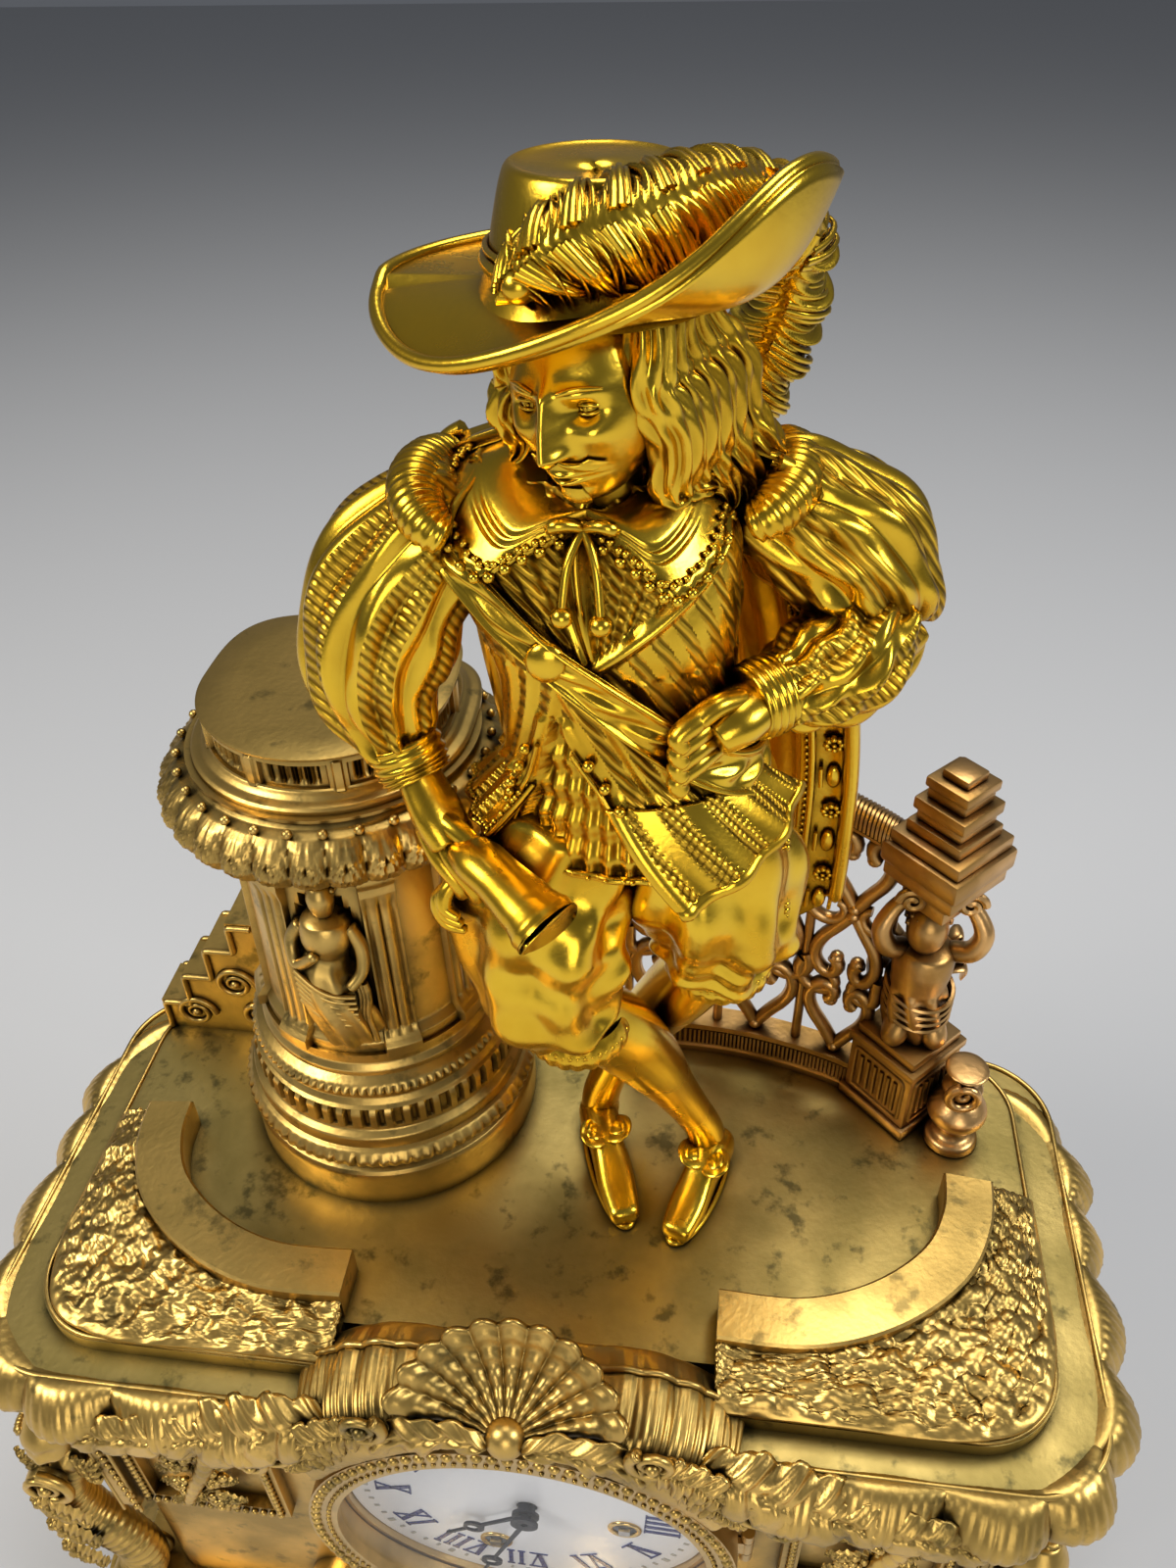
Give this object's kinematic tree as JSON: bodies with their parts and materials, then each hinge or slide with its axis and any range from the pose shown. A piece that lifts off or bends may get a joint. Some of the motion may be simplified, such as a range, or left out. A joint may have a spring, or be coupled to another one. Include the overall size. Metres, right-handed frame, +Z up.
{
  "type": "figural clock",
  "caption": "Gilt mantel clock with a standing cavalier who leans on a round pedestal above a round enamelled dial in a scrolled rocaille case.",
  "frame": {"origin": "under the middle of the clock, on the surface that it stands on", "axes": "+X to the viewer's right, +Y away from the viewer who faces the dial, +Z up"},
  "size_m": [0.28, 0.128, 0.4106],
  "materials": {
    "burnished_gilding": "polished gilding over spelter, with darker hollows",
    "matt_gilding": "matt gilding with olive brown patina in the hollows",
    "copper_gilding": "worn coppery gilding",
    "polished_brass": "polished",
    "satin_brass": "satin",
    "blued_steel": "dark blued",
    "bright_steel": "polished",
    "white_enamel": "glossy white enamel with blue Roman numerals",
    "clear_glass": "clear polished",
    "bell_metal": "silvery turned bell metal"
  },
  "bodies": {
    "clock_case": {"scroll_feet": "matt_gilding", "plinth_casting": "matt_gilding", "case_shell": "matt_gilding", "terrace_plate": "matt_gilding", "rocaille_rim": "matt_gilding", "shell_crest": "burnished_gilding", "front_panels": "matt_gilding", "flower_trophies": "matt_gilding", "corner_scrolls": "matt_gilding", "side_cartouches": "matt_gilding", "front_apron": "matt_gilding", "garden_beds": "matt_gilding", "pedestal_base": "matt_gilding", "pedestal_shaft": "matt_gilding", "pedestal_capital": "matt_gilding", "pedestal_block": "matt_gilding", "stair_scroll": "copper_gilding", "balustrade": "copper_gilding", "newel_post": "copper_gilding", "vase_baluster": "copper_gilding", "head": "burnished_gilding", "hat": "burnished_gilding", "hat_plume": "burnished_gilding", "doublet": "burnished_gilding", "falling_collar": "burnished_gilding", "resting_arm": "burnished_gilding", "akimbo_arm": "burnished_gilding", "breeches": "burnished_gilding", "crossed_legs": "burnished_gilding", "cloak": "copper_gilding", "bezel_seat": "polished_brass", "rear_ring": "polished_brass", "movement_straps": "bright_steel", "front_plate": "satin_brass", "back_plate": "satin_brass", "plate_pillars": "satin_brass", "bell": "bell_metal", "dial": "white_enamel", "fixing_studs": "bright_steel"},
    "bezel_leaf": {"bezel": "polished_brass", "bezel_glass": "clear_glass"},
    "door": {"rear_door": "polished_brass"},
    "hammer_body": {"hammer": "bright_steel"},
    "going_barrel_body": {"going_barrel": "satin_brass"},
    "strike_barrel_body": {"strike_barrel": "satin_brass"},
    "going_winding_arbor_body": {"going_winding_arbor": "bright_steel"},
    "strike_winding_arbor_body": {"strike_winding_arbor": "bright_steel"},
    "intermediate_wheel_body": {"intermediate_wheel": "satin_brass"},
    "centre_wheel_body": {"centre_wheel": "satin_brass"},
    "third_wheel_body": {"third_wheel": "satin_brass"},
    "escape_wheel_body": {"escape_wheel": "satin_brass"},
    "anchor_body": {"anchor": "bright_steel"},
    "pendulum_body": {"pendulum": "satin_brass"},
    "strike_second_wheel_body": {"strike_second_wheel": "satin_brass"},
    "pin_wheel_body": {"pin_wheel": "satin_brass"},
    "warning_wheel_body": {"warning_wheel": "satin_brass"},
    "fly_body": {"fly": "satin_brass"},
    "minute_wheel_body": {"minute_wheel": "satin_brass"},
    "minute_hand_body": {"minute_hand": "blued_steel"},
    "hour_hand_body": {"hour_hand": "blued_steel"}
  },
  "joints": [
    {"name": "bezel_hinge", "type": "hinge", "parent": "clock_case", "child": "bezel_leaf", "pos_m": [0.0536, -0.0518, 0.1185], "axis": [0, 0, 1], "range_deg": [0, 90]},
    {"name": "rear_door_hinge", "type": "hinge", "parent": "clock_case", "child": "door", "pos_m": [-0.046, 0.0518, 0.1185], "axis": [0, 0, 1], "range_deg": [0, 110]},
    {"name": "hammer_pivot", "type": "hinge", "parent": "clock_case", "child": "hammer_body", "pos_m": [-0.03178, -0.011, 0.10963], "axis": [0, -1, 0], "range_deg": [0, 12]},
    {"name": "going_winding", "type": "hinge", "parent": "clock_case", "child": "going_winding_arbor_body", "pos_m": [0.02408, -0.042, 0.11281], "axis": [0, 1, 0], "continuous": true},
    {"name": "strike_winding", "type": "hinge", "parent": "clock_case", "child": "strike_winding_arbor_body", "pos_m": [-0.00907, -0.042, 0.09548], "axis": [0, 1, 0], "continuous": true},
    {"name": "third_spin", "type": "hinge", "parent": "clock_case", "child": "third_wheel_body", "pos_m": [-0.00252, -0.026, 0.13006], "axis": [0, 1, 0], "continuous": true},
    {"name": "centre_spin", "type": "hinge", "parent": "clock_case", "child": "centre_wheel_body", "pos_m": [0, -0.0365, 0.1185], "axis": [0, 1, 0], "continuous": true},
    {"name": "intermediate_spin", "type": "hinge", "parent": "clock_case", "child": "intermediate_wheel_body", "pos_m": [0.0113, -0.038, 0.12589], "axis": [0, 1, 0], "continuous": true},
    {"name": "going_barrel_spin", "type": "hinge", "parent": "clock_case", "child": "going_barrel_body", "pos_m": [0.02408, -0.026, 0.11281], "axis": [0, 1, 0], "continuous": true},
    {"name": "escape_spin", "type": "hinge", "parent": "clock_case", "child": "escape_wheel_body", "pos_m": [-0.00992, -0.02, 0.13751], "axis": [0, 1, 0], "continuous": true},
    {"name": "warning_spin", "type": "hinge", "parent": "clock_case", "child": "warning_wheel_body", "pos_m": [-0.01824, -0.023, 0.1304], "axis": [0, 1, 0], "continuous": true},
    {"name": "pin_spin", "type": "hinge", "parent": "clock_case", "child": "pin_wheel_body", "pos_m": [-0.01862, -0.0296, 0.12136], "axis": [0, 1, 0], "continuous": true},
    {"name": "second_spin", "type": "hinge", "parent": "clock_case", "child": "strike_second_wheel_body", "pos_m": [-0.01252, -0.038, 0.11344], "axis": [0, 1, 0], "continuous": true},
    {"name": "strike_barrel_spin", "type": "hinge", "parent": "clock_case", "child": "strike_barrel_body", "pos_m": [-0.00907, -0.026, 0.09548], "axis": [0, 1, 0], "continuous": true},
    {"name": "fly_spin", "type": "hinge", "parent": "clock_case", "child": "fly_body", "pos_m": [-0.02405, -0.032, 0.13571], "axis": [0, 1, 0], "continuous": true},
    {"name": "minute_spin", "type": "hinge", "parent": "clock_case", "child": "minute_hand_body", "pos_m": [0, -0.048, 0.1185], "axis": [0, 1, 0], "continuous": true},
    {"name": "minute_wheel_spin", "type": "hinge", "parent": "clock_case", "child": "minute_wheel_body", "pos_m": [-0.00959, -0.0445, 0.1189], "axis": [0, 1, 0], "continuous": true},
    {"name": "hour_spin", "type": "hinge", "parent": "clock_case", "child": "hour_hand_body", "pos_m": [0, -0.0485, 0.1185], "axis": [0, 1, 0], "continuous": true},
    {"name": "pendulum_swing", "type": "hinge", "parent": "clock_case", "child": "pendulum_body", "pos_m": [-0.01472, -0.003, 0.14669], "axis": [0, 1, 0], "range_deg": [-3.5, 3.5]},
    {"name": "anchor_rock", "type": "hinge", "parent": "clock_case", "child": "anchor_body", "pos_m": [-0.01472, -0.02, 0.14669], "axis": [0, 1, 0], "range_deg": [-3.6, 3.6]}
  ],
  "couplings": [
    {"joint": "centre_spin", "follows": "third_spin", "ratio": -0.083333},
    {"joint": "intermediate_spin", "follows": "third_spin", "ratio": 0.010417},
    {"joint": "going_barrel_spin", "follows": "third_spin", "ratio": -0.0014881},
    {"joint": "escape_spin", "follows": "third_spin", "ratio": -11},
    {"joint": "pin_spin", "follows": "warning_spin", "ratio": -0.11667},
    {"joint": "second_spin", "follows": "warning_spin", "ratio": 0.012963},
    {"joint": "strike_barrel_spin", "follows": "warning_spin", "ratio": -0.0018519},
    {"joint": "fly_spin", "follows": "warning_spin", "ratio": -8},
    {"joint": "minute_wheel_spin", "follows": "minute_spin", "ratio": -0.33333},
    {"joint": "hour_spin", "follows": "minute_spin", "ratio": 0.083333},
    {"joint": "anchor_rock", "follows": "pendulum_swing", "ratio": 1}
  ]
}
